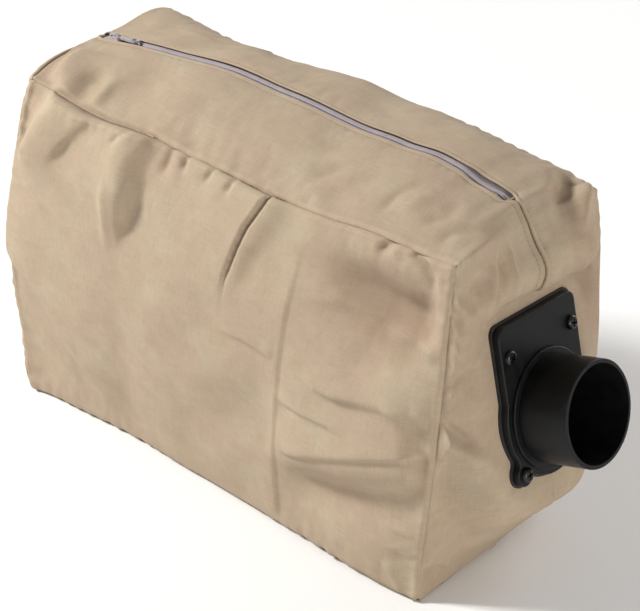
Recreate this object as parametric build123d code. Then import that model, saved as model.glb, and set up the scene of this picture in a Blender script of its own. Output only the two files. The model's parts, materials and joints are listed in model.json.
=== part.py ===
from build123d import *
import os
from math import asin, cos, radians, sin

# Cotton chip bag for a hand-held woodworking machine: a sewn box of cloth with a zip along its top
# and a moulded inlet connector on its front. Millimetres, +Z up. The origin is the centre of the
# flat base, +X runs to the front, where the connector is, and the cloth rests on z = 0.

os.makedirs("parts", exist_ok=True)

# Bag: the seam corners span this box, and the cloth swells out of it.
LENGTH = 306.0
WIDTH = 124.0
HEIGHT = 204.0
CLOTH = 1.0
CONTACT_GAP = 0.03
TOP_SEAM_DIP = 4.0
FRONT_SEAM_BOW = 4.0
BACK_SEAM_BOW = 9.0
BACK_SEAM_SPREAD = 3.0
BASE_SEAM_BOW = 5.0
BASE_END_BOW = 3.0
SIDE_SWELL = 6.0
BACK_SWELL = 4.0
FRONT_SWELL = 2.0
GUSSET_OVERHANG = 3.0

# Zip: the chain lies on one long flat arc in the middle plane of the bag.
CREST_HEIGHT = 221.5
TRACK_RADIUS = 1093.0
TRACK_CENTRE_Z = CREST_HEIGHT - TRACK_RADIUS
SLOT_HALF = 5.0
SLOT_FRONT_X = 141.0
CHAIN_GAP = 0.65
TAPE_TOP = -2.4
TAPE_THICKNESS = 0.6
TAPE_EDGE = 11.0
TAPE_ENDS = (-154.2, 140.0)
COIL_EDGE = 3.1
COIL_HEIGHT = 2.0
COIL_TOP = TAPE_TOP - TAPE_THICKNESS - CONTACT_GAP
COIL_ENDS = (-150.5, 126.6)
STOP_LENGTH = 1.7
STOP_CLEARANCE = 0.2
TACK_LENGTH = 1.2
TACK_HEIGHT = 0.8
TACK_HALF = 4.8
FRONT_TACK_X = 137.6

# Slider, with u along the track, v across it and w away from its centre. The coils are on the
# inside of the tapes, so the slider's skirts stand up from its lower plate.
SLIDER_X = -144.0
SLIDER_LENGTH = 11.0
SLIDER_HALF = 4.5
SLIDER_TAIL_HALF = 3.9
PLATE = 1.2
SLIDER_CLEARANCE = 0.2
TOP_PLATE_W = TAPE_TOP + SLIDER_CLEARANCE
BOTTOM_PLATE_W = TAPE_TOP - TAPE_THICKNESS - COIL_HEIGHT - 1.2 * SLIDER_CLEARANCE
SKIRT_INNER = 3.35
POST_HALF = 0.45
POST_SPAN = (-4.6, -2.2)
BAIL_SPAN = 3.4
BAIL_FOOT = 1.2
BAIL_HALF = 0.9
BAIL_RISE = 2.5
BAIL_THICKNESS = 0.9

# Pull tab, hanging on a cross bar under the bail.
PULL_BAR_RADIUS = 0.6
PIVOT_W = TOP_PLATE_W + PLATE + 0.15 + PULL_BAR_RADIUS
PULL_EYE_INNER = 1.35
PULL_EYE_HALF = 2.5
PULL_EYE_END = 4.4
PULL_LENGTH = 19.0
PULL_TIP_HALF = 3.1
PULL_HOLE_RADIUS = 1.5
PULL_THICKNESS = 1.2

# Inlet connector, on an axis that points forwards and up.
AXIS_PITCH = 16.5
FLANGE_X = 176.0
FLANGE_Z = 103.5
FLANGE_THICKNESS = 4.0
SPIGOT_RADIUS = 29.0
SPIGOT_BORE = 26.7
SPIGOT_LENGTH = 31.4
NECK_RADIUS = 28.5
NECK_HOLE = 28.8
COLLAR_RADIUS = 32.5
COLLAR_HEIGHT = 1.8
SCREW_SPACING_U = 54.0
SCREW_SPACING_V = 65.0
SCREW_CENTRE_V = 5.2
PLATE_SIDE = 33.5
PLATE_TOP = 54.5
PLATE_CORNER = 5.5
PLATE_ARC = 36.0
EAR_RADIUS = 6.6
OUTLINE_BLEND = 4.0
GASKET_THICKNESS = 1.5
GASKET_RIM = 1.2
RING_THICKNESS = 3.0
RING_RIM = -1.0
BOSS_RADIUS = 4.4
BOSS_LENGTH = 7.0

# Flange screws: M4 pan head with a cross recess.
SCREW_RADIUS = 1.95
SCREW_HOLE = 2.2
BOSS_HOLE = 2.0
HEAD_RADIUS = 4.0
HEAD_HEIGHT = 2.6
SCREW_LENGTH = 15.5
RECESS_SPAN = 4.6
RECESS_WIDTH = 1.0
RECESS_DEPTH = 1.5

# The cloth is flat where the flange clamps it.
PAD_HALF = 37.0
PAD_TOP = 58.0
PAD_BOTTOM = -40.0


# ---------------------------------------------------------------- frames

AXIS = Vector(cos(radians(AXIS_PITCH)), 0, sin(radians(AXIS_PITCH)))
FLANGE = Plane(origin=(FLANGE_X, 0, FLANGE_Z), x_dir=(0, 1, 0), z_dir=AXIS)
CLOTH_W = -(FLANGE_THICKNESS + GASKET_THICKNESS + 2 * CONTACT_GAP)
RING_W = CLOTH_W - CLOTH - CONTACT_GAP


def on_flange(u, v, w):
    """Point of the connector's own frame: u across, v up the plate, w out along the axis."""
    return FLANGE.from_local_coords(Vector(u, v, w))


def on_track(x, w, y=0.0):
    """Point above or below the zip's arc at track position x."""
    turn = asin(x / TRACK_RADIUS)
    reach = TRACK_RADIUS + w
    return Vector(reach * sin(turn), y, TRACK_CENTRE_Z + reach * cos(turn))


def track_plane(x):
    """Plane on the zip's arc: x along the chain, y across it, z away from the bag."""
    turn = asin(x / TRACK_RADIUS)
    return Plane(on_track(x, 0), x_dir=(cos(turn), 0, -sin(turn)), z_dir=(sin(turn), 0, cos(turn)))


# ---------------------------------------------------------------- cloth

def curve(start, end, bow=(0, 0, 0)):
    """Control points of a parabola from start to end whose middle stands bow off the chord."""
    return [start, (start + end) / 2 + 2 * Vector(*bow), end]


def patch(south, north, west, east, swell=(0, 0, 0)):
    """Control net of a biquadratic patch between four curves, its middle raised by swell."""
    corners = south[0] + south[2] + north[0] + north[2]
    middle = (south[1] + north[1] + west[1] + east[1]) / 2 - corners / 4
    return [south, [west[1], middle + 4 * Vector(*swell), east[1]], north]


def cloth_nets(side, inset):
    """Nets of every cloth surface on one side of the middle plane; side is -1 for right, 1 for left.
    inset is 0 for the outer surface and the cloth's thickness for the inner one."""

    def corner(x_sign, z):
        height = HEIGHT - inset if z else inset
        return Vector(x_sign * (LENGTH / 2 - inset), side * (WIDTH / 2 - inset), height)

    def pad_point(u, v):
        return on_flange(side * u, v, CLOTH_W - inset)

    front_low, front_high = corner(1, 0), corner(1, 1)
    back_low, back_high = corner(-1, 0), corner(-1, 1)
    base_front = Vector(LENGTH / 2 + BASE_END_BOW - inset, 0, inset)
    base_back = Vector(-LENGTH / 2 - BASE_END_BOW + inset, 0, inset)
    crest_front = on_track(LENGTH / 2 - inset, -inset)
    crest_back = on_track(-LENGTH / 2 - GUSSET_OVERHANG + inset, -inset)
    crest_middle = on_track(0, -inset)

    top_seam = curve(back_high, front_high, (0, 0, -TOP_SEAM_DIP))
    front_seam = curve(front_low, front_high, (FRONT_SEAM_BOW, 0, 0))
    back_seam = curve(back_low, back_high, (-BACK_SEAM_BOW, side * BACK_SEAM_SPREAD, 0))
    base_seam = curve(back_low, front_low, (0, side * BASE_SEAM_BOW, 0))
    zip_line = curve(crest_back, crest_front)
    zip_line[1] = 2 * crest_middle - (crest_back + crest_front) / 2
    front_crest = curve(front_high, crest_front)
    front_crest[1] = Vector(crest_front.X, front_crest[1].Y, crest_front.Z)
    back_crest = curve(back_high, crest_back)
    back_crest[1] = Vector(crest_back.X, back_crest[1].Y, crest_back.Z)
    base_front_half = curve(front_low, base_front)
    base_front_half[1] = Vector(base_front.X, base_front_half[1].Y, inset)
    base_back_half = curve(back_low, base_back)
    base_back_half[1] = Vector(base_back.X, base_back_half[1].Y, inset)

    high_out, high_in = pad_point(PAD_HALF, PAD_TOP), pad_point(0, PAD_TOP)
    low_out, low_in = pad_point(PAD_HALF, PAD_BOTTOM), pad_point(0, PAD_BOTTOM)
    pad_high, pad_low = curve(high_out, high_in), curve(low_out, low_in)
    pad_outer, pad_inner = curve(low_out, high_out), curve(low_in, high_in)
    to_high = curve(front_high, high_out)
    to_low = curve(front_low, low_out)
    seam_high = curve(crest_front, high_in)
    seam_low = curve(base_front, low_in)
    swell = (FRONT_SWELL, 0, 0)

    top = patch(top_seam, zip_line, back_crest, front_crest)
    top[1][1] = Vector(top[1][1].X, top[1][1].Y, zip_line[1].Z)
    return {
        "top": top,
        "front_high": patch(front_crest, pad_high, to_high, seam_high, swell),
        "front_side": patch(front_seam, pad_outer, to_low, to_high, swell),
        "front_low": patch(base_front_half, pad_low, to_low, seam_low, swell),
        "pad": patch(pad_low, pad_high, pad_outer, pad_inner),
        "side": patch(base_seam, top_seam, back_seam, front_seam, (0, side * SIDE_SWELL, 0)),
        "back": patch(back_seam, curve(base_back, crest_back, (-BACK_SEAM_BOW - BACK_SWELL, 0, 0)),
                      base_back_half, back_crest),
        "base": patch(base_seam, curve(base_back, base_front), base_back_half, base_front_half),
    }


def net_edges(net):
    """The four boundary curves of a control net."""
    return [net[0], net[2], [row[0] for row in net], [row[2] for row in net]]


def edge_key(points):
    """The same value for a curve and for the same curve run backwards."""
    ends = [tuple(round(value, 4) for value in point) for point in points]
    return tuple(ends) if ends[0] < ends[2] else tuple(reversed(ends))


def skin(net):
    """Surface of a control net: a true plane where the net is level, or else a curved patch."""
    heights = {round(point.Z, 6) for row in net for point in row}
    if len(heights) > 1:
        return Face.make_bezier_surface(net)
    return Face(Wire([Edge.make_bezier(*edge) for edge in net_edges(net)]))


def cloth_panel(names, sides):
    """One piece of cloth over the named surfaces: outer skin, inner skin and a closed edge."""
    faces = []
    rims = {}
    for side in sides:
        outer_nets = cloth_nets(side, 0)
        inner_nets = cloth_nets(side, CLOTH)
        for name in names:
            outer, inner = outer_nets[name], inner_nets[name]
            faces += [skin(outer), skin(inner)]
            for outer_edge, inner_edge in zip(net_edges(outer), net_edges(inner)):
                rims.setdefault(edge_key(outer_edge), []).append([outer_edge, inner_edge])
    faces += [Face.make_bezier_surface(found[0]) for found in rims.values() if len(found) == 1]
    panel = Solid(Shell(faces)).clean()
    return panel if panel.volume > 0 else -panel


GUSSET_SURFACES = ["top", "front_high", "front_side", "front_low", "pad"]


def gusset(side):
    """Top and front band on one side of the zip, with the zip's slot and the connector's holes."""
    slot_length = LENGTH / 2 + SLOT_FRONT_X + 10 * GUSSET_OVERHANG
    slot_height = 4 * SLOT_HALF
    slot_centre = Vector(SLOT_FRONT_X - slot_length / 2, 0, CREST_HEIGHT - slot_height / 2 + SLOT_HALF)
    slot = Pos(slot_centre) * Box(slot_length, 2 * SLOT_HALF, slot_height)
    hole_depth = 6 * CLOTH
    holes = FLANGE * Pos(0, 0, CLOTH_W - CLOTH / 2) * Cylinder(NECK_HOLE, hole_depth)
    for u, v in screw_places():
        holes += FLANGE * Pos(u, v, CLOTH_W - CLOTH / 2) * Cylinder(SCREW_HOLE, hole_depth)
    return cloth_panel(GUSSET_SURFACES, [side]) - slot - holes


# ---------------------------------------------------------------- zip

def track_strip(ends, low_w, high_w, low_y, high_y):
    """Straight strip bent along the zip's arc, between two depths and two widths."""
    middle = sum(ends) / 2
    low = [on_track(x, low_w, low_y) for x in (ends[0], middle, ends[1])]
    high = [on_track(x, high_w, low_y) for x in (ends[0], middle, ends[1])]
    outline = Wire([
        Edge.make_three_point_arc(*low),
        Edge.make_line(low[2], high[2]),
        Edge.make_three_point_arc(*reversed(high)),
        Edge.make_line(high[0], low[0]),
    ])
    return extrude(Face(outline), amount=high_y - low_y, dir=(0, 1, 0))


def both_ways(side, inner, outer):
    """Low and high Y of a strip that lies between two distances from the middle plane."""
    return sorted((side * inner, side * outer))


def zipper_tape(side):
    low = TAPE_TOP - TAPE_THICKNESS
    return track_strip(TAPE_ENDS, low, TAPE_TOP, *both_ways(side, CHAIN_GAP, TAPE_EDGE))


def zipper_coil(side):
    low = COIL_TOP - COIL_HEIGHT
    return track_strip(COIL_ENDS, low, COIL_TOP, *both_ways(side, CHAIN_GAP, COIL_EDGE))


def zipper_stop_front():
    """Metal clip over both coils at the end where the zip starts to open."""
    start = COIL_ENDS[1] + STOP_CLEARANCE
    ends = (start, start + 2 * STOP_LENGTH)
    return track_strip(ends, COIL_TOP - COIL_HEIGHT, COIL_TOP, -COIL_EDGE, COIL_EDGE)


def zipper_stops_back():
    """Two small clips, one on each coil, where the closed zip ends."""
    end = COIL_ENDS[0] - STOP_CLEARANCE
    ends = (end - STOP_LENGTH, end)
    return Compound([
        track_strip(ends, COIL_TOP - COIL_HEIGHT, COIL_TOP, *both_ways(side, CHAIN_GAP, COIL_EDGE))
        for side in (-1, 1)
    ])


def zip_tack(start):
    """Bar of close stitches across both tapes."""
    low = TAPE_TOP + CONTACT_GAP
    return track_strip((start, start + TACK_LENGTH), low, low + TACK_HEIGHT, -TACK_HALF, TACK_HALF)


def zipper_slider():
    """Die-cast slider: two plates joined by the post between the tapes, with a bail on top."""
    half = SLIDER_LENGTH / 2
    shield = Polyline((-half, SLIDER_HALF), (half, SLIDER_TAIL_HALF), (half, -SLIDER_TAIL_HALF),
                      (-half, -SLIDER_HALF), close=True)
    footprint = fillet(make_face(shield).vertices(), SLIDER_HALF / 4)
    top = extrude(Pos(0, 0, TOP_PLATE_W) * footprint, PLATE)
    top = fillet(top.faces().sort_by(Axis.Z)[-1].edges(), PLATE / 3)
    skirt_height = TAPE_TOP - TAPE_THICKNESS - SLIDER_CLEARANCE - BOTTOM_PLATE_W
    skirt = extrude(Pos(0, 0, BOTTOM_PLATE_W) * footprint, skirt_height)
    channel = Pos(0, 0, BOTTOM_PLATE_W) * Box(2 * SLIDER_LENGTH, 2 * SKIRT_INNER, 4 * skirt_height)
    bottom = extrude(Pos(0, 0, BOTTOM_PLATE_W - PLATE) * footprint, PLATE)
    post_height = TOP_PLATE_W - BOTTOM_PLATE_W + PLATE
    post_centre = (TOP_PLATE_W + BOTTOM_PLATE_W) / 2
    post_length = POST_SPAN[1] - POST_SPAN[0]
    post = Pos(sum(POST_SPAN) / 2, 0, post_centre) * Box(post_length, 2 * POST_HALF, post_height)
    deck = TOP_PLATE_W + PLATE
    bail = Pos(0, 0, deck + BAIL_RISE / 2) * Box(2 * BAIL_SPAN, 2 * BAIL_HALF, BAIL_RISE)
    bail = fillet(bail.edges().filter_by(Axis.Y).sort_by(Axis.Z)[-2:], BAIL_FOOT)
    window_rise = BAIL_RISE - BAIL_THICKNESS
    window_span = 2 * (BAIL_SPAN - BAIL_FOOT)
    window = Pos(0, 0, deck + window_rise / 2) * Box(window_span, 4 * BAIL_HALF, window_rise)
    return track_plane(SLIDER_X) * (top + (skirt - channel) + bottom + post + (bail - window))


def zipper_pull():
    """Flat tab whose cross bar turns under the slider's bail; it lies forwards on the chain."""
    waist = PULL_EYE_END + PULL_EYE_INNER
    eye_corner, tip_corner = (PULL_EYE_END, PULL_EYE_HALF), (PULL_LENGTH, PULL_TIP_HALF)
    edge = [(0, PULL_EYE_HALF), eye_corner, (waist, PULL_EYE_INNER), tip_corner]
    outline = Polyline(*edge, *[(u, -v) for u, v in reversed(edge)], close=True)
    tab = make_face(outline)
    tab = fillet(tab.vertices().sort_by(Axis.X)[-2:], PULL_TIP_HALF * 0.8)
    eye = Pos(PULL_EYE_END / 2, 0) * Rectangle(PULL_EYE_END, 2 * PULL_EYE_INNER)
    hole = Pos(PULL_LENGTH - 2 * PULL_HOLE_RADIUS, 0) * Circle(PULL_HOLE_RADIUS)
    plate = extrude(tab - eye - hole, PULL_THICKNESS / 2, both=True)
    bar = Rot(90, 0, 0) * Cylinder(PULL_BAR_RADIUS, 2 * PULL_EYE_HALF)
    return track_plane(SLIDER_X) * Pos(0, 0, PIVOT_W) * (plate + bar)


# ---------------------------------------------------------------- connector

def screw_places():
    """The four flange screws, as u and v on the plate."""
    half_u, half_v = SCREW_SPACING_U / 2, SCREW_SPACING_V / 2
    return [(u, SCREW_CENTRE_V + v) for v in (-half_v, half_v) for u in (-half_u, half_u)]


def flange_outline(grow):
    """Square-topped plate, round below about the spigot's axis, with an ear at each lower screw."""
    square_top = Pos(0, (PLATE_TOP + SCREW_CENTRE_V) / 2) * RectangleRounded(
        2 * (PLATE_SIDE + grow), PLATE_TOP - SCREW_CENTRE_V + 2 * grow, PLATE_CORNER)
    outline = square_top + Circle(PLATE_ARC + grow)
    for u, v in screw_places()[:2]:
        outline += Pos(u, v) * Circle(EAR_RADIUS + grow)
    widened = offset(outline, OUTLINE_BLEND, kind=Kind.ARC)
    return offset(widened, -OUTLINE_BLEND, kind=Kind.ARC)


def plate_with_holes(grow, hole, thickness, front_w, screw_hole):
    """Flat layer of the connector stack, its front face at front_w."""
    layer = flange_outline(grow) - Circle(hole)
    for u, v in screw_places():
        layer -= Pos(u, v) * Circle(screw_hole)
    return extrude(Pos(0, 0, front_w - thickness) * layer, thickness)


def inlet_connector():
    """Flange, collar ring and tube, moulded in one."""
    plate = plate_with_holes(0, SPIGOT_BORE, FLANGE_THICKNESS, 0, SCREW_HOLE)
    rim = plate.faces().sort_by(Axis.Z)[-1].outer_wire().edges()
    plate = fillet(rim, FLANGE_THICKNESS / 4)
    neck_length = RING_THICKNESS + CLOTH - CLOTH_W + CONTACT_GAP
    neck = Pos(0, 0, -neck_length / 2) * Cylinder(NECK_RADIUS, neck_length)
    collar = Pos(0, 0, COLLAR_HEIGHT / 2) * Cylinder(COLLAR_RADIUS, COLLAR_HEIGHT)
    collar = fillet(collar.edges().sort_by(Axis.Z)[-1], COLLAR_HEIGHT / 3)
    tube = Pos(0, 0, SPIGOT_LENGTH / 2) * Cylinder(SPIGOT_RADIUS, SPIGOT_LENGTH)
    tube = fillet(tube.edges().sort_by(Axis.Z)[-1], (SPIGOT_RADIUS - SPIGOT_BORE) / 3)
    bore = Cylinder(SPIGOT_BORE, 4 * SPIGOT_LENGTH)
    return FLANGE * (plate + neck + collar + tube - bore)


def flange_gasket():
    """Rubber sheet between the flange and the cloth, a little larger than the flange."""
    front_w = -FLANGE_THICKNESS - CONTACT_GAP
    return FLANGE * plate_with_holes(GASKET_RIM, NECK_HOLE, GASKET_THICKNESS, front_w, SCREW_HOLE)


def clamp_ring():
    """Inner plate that pulls the cloth against the flange, with a boss for each screw."""
    ring = plate_with_holes(RING_RIM, NECK_HOLE, RING_THICKNESS, RING_W, BOSS_HOLE)
    for u, v in screw_places():
        boss = Cylinder(BOSS_RADIUS, BOSS_LENGTH) - Cylinder(BOSS_HOLE, BOSS_LENGTH)
        ring += Pos(u, v, RING_W - RING_THICKNESS - BOSS_LENGTH / 2) * boss
    return FLANGE * ring


def flange_screw():
    """Pan-head screw standing on w = 0, its shank towards the bag."""
    head = Pos(0, 0, HEAD_HEIGHT / 2) * Cylinder(HEAD_RADIUS, HEAD_HEIGHT)
    head = fillet(head.edges().sort_by(Axis.Z)[-1], HEAD_HEIGHT * 0.6)
    shank = Pos(0, 0, -SCREW_LENGTH / 2) * Cylinder(SCREW_RADIUS, SCREW_LENGTH)
    recess = Box(RECESS_SPAN, RECESS_WIDTH, 2 * RECESS_DEPTH)
    recess += Box(RECESS_WIDTH, RECESS_SPAN, 2 * RECESS_DEPTH)
    return head + shank - Pos(0, 0, HEAD_HEIGHT) * recess


def flange_screws():
    """Four screws, each turned a little further than the last."""
    turn = 25
    return Compound([
        FLANGE * Pos(u, v, CONTACT_GAP) * Rot(0, 0, turn * index) * flange_screw()
        for index, (u, v) in enumerate(screw_places())
    ])


# ---------------------------------------------------------------- nodes

NODES = {
    "side_panel_right": cloth_panel(["side"], [-1]),
    "side_panel_left": cloth_panel(["side"], [1]),
    "gusset_right": gusset(-1),
    "gusset_left": gusset(1),
    "base_panel": cloth_panel(["base"], [-1, 1]),
    "back_panel": cloth_panel(["back"], [-1, 1]),
    "zipper_tape_right": zipper_tape(-1),
    "zipper_tape_left": zipper_tape(1),
    "zipper_coil_right": zipper_coil(-1),
    "zipper_coil_left": zipper_coil(1),
    "zipper_stop_front": zipper_stop_front(),
    "zipper_stops_back": zipper_stops_back(),
    "zip_tack_front": zip_tack(FRONT_TACK_X),
    "zip_tack_back": zip_tack(TAPE_ENDS[0] + STOP_CLEARANCE),
    "zipper_slider": zipper_slider(),
    "zipper_pull": zipper_pull(),
    "inlet_connector": inlet_connector(),
    "flange_gasket": flange_gasket(),
    "clamp_ring": clamp_ring(),
    "flange_screws": flange_screws(),
}

for name, shape in NODES.items():
    export_step(shape, f"parts/{name}.step")
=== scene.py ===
import json
from math import cos, pi, radians, sin, sqrt

import bpy
import numpy as np
from mathutils import Matrix, Vector


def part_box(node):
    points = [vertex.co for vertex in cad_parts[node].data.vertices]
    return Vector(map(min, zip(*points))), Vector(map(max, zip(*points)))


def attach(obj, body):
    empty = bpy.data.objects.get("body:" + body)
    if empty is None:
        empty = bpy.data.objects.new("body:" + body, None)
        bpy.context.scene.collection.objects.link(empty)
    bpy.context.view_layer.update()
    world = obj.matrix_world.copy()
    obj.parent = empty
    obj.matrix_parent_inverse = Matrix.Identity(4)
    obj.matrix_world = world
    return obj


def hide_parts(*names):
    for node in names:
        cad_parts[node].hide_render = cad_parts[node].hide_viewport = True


# Looks of the cotton chip bag: sewn cloth panels, zip, stitching and the moulded inlet connector.
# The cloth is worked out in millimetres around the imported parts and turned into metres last.
# +X is the front, where the connector is; -Y is the near side; the bag stands on z = 0.
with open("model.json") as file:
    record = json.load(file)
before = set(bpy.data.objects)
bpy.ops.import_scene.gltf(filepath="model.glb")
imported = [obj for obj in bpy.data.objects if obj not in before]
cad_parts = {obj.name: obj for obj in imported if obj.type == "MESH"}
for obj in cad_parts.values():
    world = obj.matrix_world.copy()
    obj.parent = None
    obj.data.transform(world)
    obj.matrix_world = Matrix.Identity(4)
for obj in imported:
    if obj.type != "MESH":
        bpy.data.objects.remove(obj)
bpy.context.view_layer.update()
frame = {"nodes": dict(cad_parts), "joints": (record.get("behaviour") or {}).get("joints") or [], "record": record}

MM = 0.001


# ---- measures taken from the frame

def box_mm(node):
    """Lowest and highest corner of a CAD node in millimetres."""
    low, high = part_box(node)
    return np.array(low) / MM, np.array(high) / MM


SEAM_Y = -box_mm("gusset_right")[0][1]
TOP_Z = box_mm("side_panel_right")[1][2]
TAPE_FACE = 2.4          # depth of the zip tapes' upper faces below the cloth's crest
TAPE_THICKNESS = 0.6
CREST_Z = box_mm("zipper_tape_right")[1][2] + TAPE_FACE

record = frame["record"]
joints = {joint["name"]: joint for joint in frame["joints"]}
TRACK_CENTRE_Z = joints["slider_travel"]["pos_m"][2] / MM
TRACK_RADIUS = CREST_Z - TRACK_CENTRE_Z

mounts = {mount["name"]: mount for mount in record["mounts"]}
SPIGOT = mounts["inlet_spigot"]
COLLAR_HEIGHT = 1.8
AXIS = np.array(SPIGOT["axis"], float)
AXIS /= np.linalg.norm(AXIS)
UP_PLATE = np.array([-AXIS[2], 0.0, AXIS[0]])
FLANGE = np.array(SPIGOT["pos_m"]) / MM - AXIS * (COLLAR_HEIGHT + SPIGOT["dims"]["length_mm"] / 2)
CLOTH_W = -5.56          # the cloth's outer face, along the spigot's axis from the flange's face
NECK_HOLE = 28.9         # radius of the hole that the connector's neck passes through

FLOOR_GAP = 0.55         # lowest place of the cloth's outer face
CLOTH = 0.8              # its thickness


# ---- camera

def make_camera():
    """Long lens, from the front right and above, tilted a little."""
    azimuth, elevation, roll = radians(38.418), radians(28.804), radians(3.852)
    distance, lens, sensor = 1.3909, 140.6, 36.0
    target = Vector((0.01969, -0.00145, 0.102))
    back = Vector((sin(azimuth) * cos(elevation), -cos(azimuth) * cos(elevation), sin(elevation)))
    right = Vector((cos(azimuth), sin(azimuth), 0))
    up = back.cross(right)
    across = right * cos(roll) + up * sin(roll)
    upward = up * cos(roll) - right * sin(roll)
    data = bpy.data.cameras.new("camera")
    data.lens = lens
    data.sensor_width = sensor
    data.clip_start, data.clip_end = 0.05, 50
    camera = bpy.data.objects.new("camera", data)
    turn = Matrix((across, upward, back)).transposed().to_4x4()
    camera.matrix_world = Matrix.Translation(target + back * distance) @ turn
    bpy.context.scene.collection.objects.link(camera)
    bpy.context.scene.camera = camera


make_camera()


# ---- curves and fields

def smooth(low, high, value):
    """0 below low, 1 above high, and an even S between them."""
    t = np.clip((value - low) / (high - low), 0, 1)
    return t * t * (3 - 2 * t)


def spline(points, cells):
    """Smooth curve through the points, cut into equal cells."""
    p = np.array(points, float)
    p = np.vstack([2 * p[0] - p[1], p, 2 * p[-1] - p[-2]])
    t = np.linspace(0, 1, 24, endpoint=False)[:, None]
    runs = []
    for a, b, c, d in zip(p, p[1:], p[2:], p[3:]):
        runs.append(0.5 * (2 * b + (c - a) * t + (2 * a - 5 * b + 4 * c - d) * t**2
                           + (3 * b - a - 3 * c + d) * t**3))
    line = np.vstack(runs + [p[-2:-1]])
    steps = np.linalg.norm(np.diff(line, axis=0), axis=1)
    along = np.concatenate([[0], np.cumsum(steps)])
    wanted = np.linspace(0, along[-1], cells + 1)
    return np.column_stack([np.interp(wanted, along, line[:, k]) for k in range(line.shape[1])])


def hermite(start, end, leave, arrive, t):
    """Cubic from start to end with the given end tangents, at the shares t."""
    t = np.asarray(t)[None, :, None]
    start, end, leave, arrive = (value[:, None, :] for value in (start, end, leave, arrive))
    return ((2 * t**3 - 3 * t**2 + 1) * start + (3 * t**2 - 2 * t**3) * end
            + (t**3 - 2 * t**2 + t) * leave + (t**3 - t**2) * arrive)


def coons(low, high, left, right):
    """Patch between four curves; low and high run along its first direction."""
    s = np.linspace(0, 1, len(low))[:, None, None]
    t = np.linspace(0, 1, len(left))[None, :, None]
    ruled = (1 - t) * low[:, None] + t * high[:, None] + (1 - s) * left[None] + s * right[None]
    corners = ((1 - s) * (1 - t) * low[0] + s * (1 - t) * low[-1]
               + (1 - s) * t * high[0] + s * t * high[-1])
    return ruled - corners


def dome(rows, columns, power=0.75):
    """0 on the border of a panel and 1 in its middle."""
    s = np.sin(pi * np.linspace(0, 1, rows))[:, None]
    t = np.sin(pi * np.linspace(0, 1, columns))[None]
    return (np.clip(s, 0, 1) * np.clip(t, 0, 1)) ** power


# ---- outline of the bag

# cells of the coarse panels: along the bag, up it, and across one half of its band
NX, NZ, NY = 61, 41, 12

# Seams: (x, height above the side's top edge), (x, z), (x, y, z) and (x, y) on the base.
TOP_SEAM_NEAR = [(-150, -1), (-125, -4), (-94, -7), (-56, -5), (-20, -7), (31, -9), (64, -8),
                 (97, -5), (129, -5), (151, -4)]
TOP_SEAM_FAR = [(-159, 3), (-140, 2), (-110, -1), (-85, -1), (-42, 2), (-6, 5), (26, 3.5), (52, 4.5),
                (102, 1.5), (133, -1), (151, -4)]
BACK_SEAM_NEAR = [(-147, 1), (-152, 9), (-157, 38), (-163, 62), (-167.5, 94), (-167.5, 113),
                  (-163, 147), (-157, 180), (-150, 203)]
BACK_SEAM_FAR = [(-150, 1), (-155, 14), (-160, 45), (-164, 95), (-164, 140), (-162, 180), (-159, 207)]
FRONT_SEAM_NEAR = [(152, -68, 0), (150, -66, 18), (150.5, -64, 60), (151, -62.5, 110),
                   (151, -62, 160), (151, -62, 200)]
FRONT_SEAM_FAR = [(138, 54, 0), (149, 60, 16), (159, 63, 60), (163, 62.5, 106), (159, 62, 155),
                  (156, 62, 178), (151, 62, 200)]
BASE_SEAM_NEAR = [(-147, -61), (-129, -58), (-95, -56), (-55, -56), (-15, -59), (30, -62), (70, -65),
                  (105, -68), (130, -70), (152, -68)]
BASE_SEAM_FAR = [(-150, 62), (-90, 64), (-20, 66), (60, 65), (115, 61), (138, 54)]
BASE_FRONT_MIDDLE = (148.5, 0, 0)
# (x, height of the cloth beside the zip above its arc) and (x, half the opening between its lips)
ZIP_WAVE = [(-156, 0), (-130, 0), (-100, 0.2), (-56, 1.6), (-12, -0.6), (37, -2.4), (65, -0.6),
            (92, 2.4), (108, 2.0), (119, 0.2), (128, 0.1), (136, -1.4), (142, -1.6)]
LIP_GAP = [(-155, 0), (-149.8, 4.9), (-137, 4.9), (-126, 4.0), (108, 4.0), (115, 4.7), (131, 4.7),
           (136, 4.6), (141, 0)]
ZIP_END_X = 141.0
ZIP_BACK_X = -155.0
SIDE_BULGE, BACK_BULGE = 5.0, 4.0


def track_z(x):
    """Height of the cloth's crest over the zip: the slider's arc, with the cloth's slight wave."""
    wave_x, wave = np.array(ZIP_WAVE, float).T
    return TRACK_CENTRE_Z + np.sqrt(TRACK_RADIUS**2 - x**2) + smooth_wave(x, wave_x, wave)


def smooth_wave(x, knots, values):
    """Value between knots, easing from one to the next."""
    x = np.asarray(x, float)
    place = np.clip(np.searchsorted(knots, x) - 1, 0, len(knots) - 2)
    low, high = knots[place], knots[place + 1]
    t = smooth(0, 1, (x - low) / (high - low))
    return values[place] * (1 - t) + values[place + 1] * t


def lip_gap(x):
    """Half of the opening between the zip's two cloth lips."""
    knots, values = np.array(LIP_GAP, float).T
    return np.interp(x, knots, values)


def centre_front():
    """Middle line of the front: over the crest, in to the flange, along it and back to the base."""
    flange_high = FLANGE + 54 * UP_PLATE + CLOTH_W * AXIS
    flange_low = FLANGE - 38 * UP_PLATE + CLOTH_W * AXIS
    return [(ZIP_END_X, 0, track_z(ZIP_END_X)), (147, 0, 203), (153, 0, 191), (160, 0, 178),
            (158, 0, 165), flange_high, (flange_high + flange_low) / 2, flange_low, (177, 0, 46),
            (165.5, 0, 26), (153.5, 0, 10), BASE_FRONT_MIDDLE]


def with_y(points, y):
    """Points (x, z) of a seam in the plane y."""
    return [(x, y, z) for x, z in points]


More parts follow.
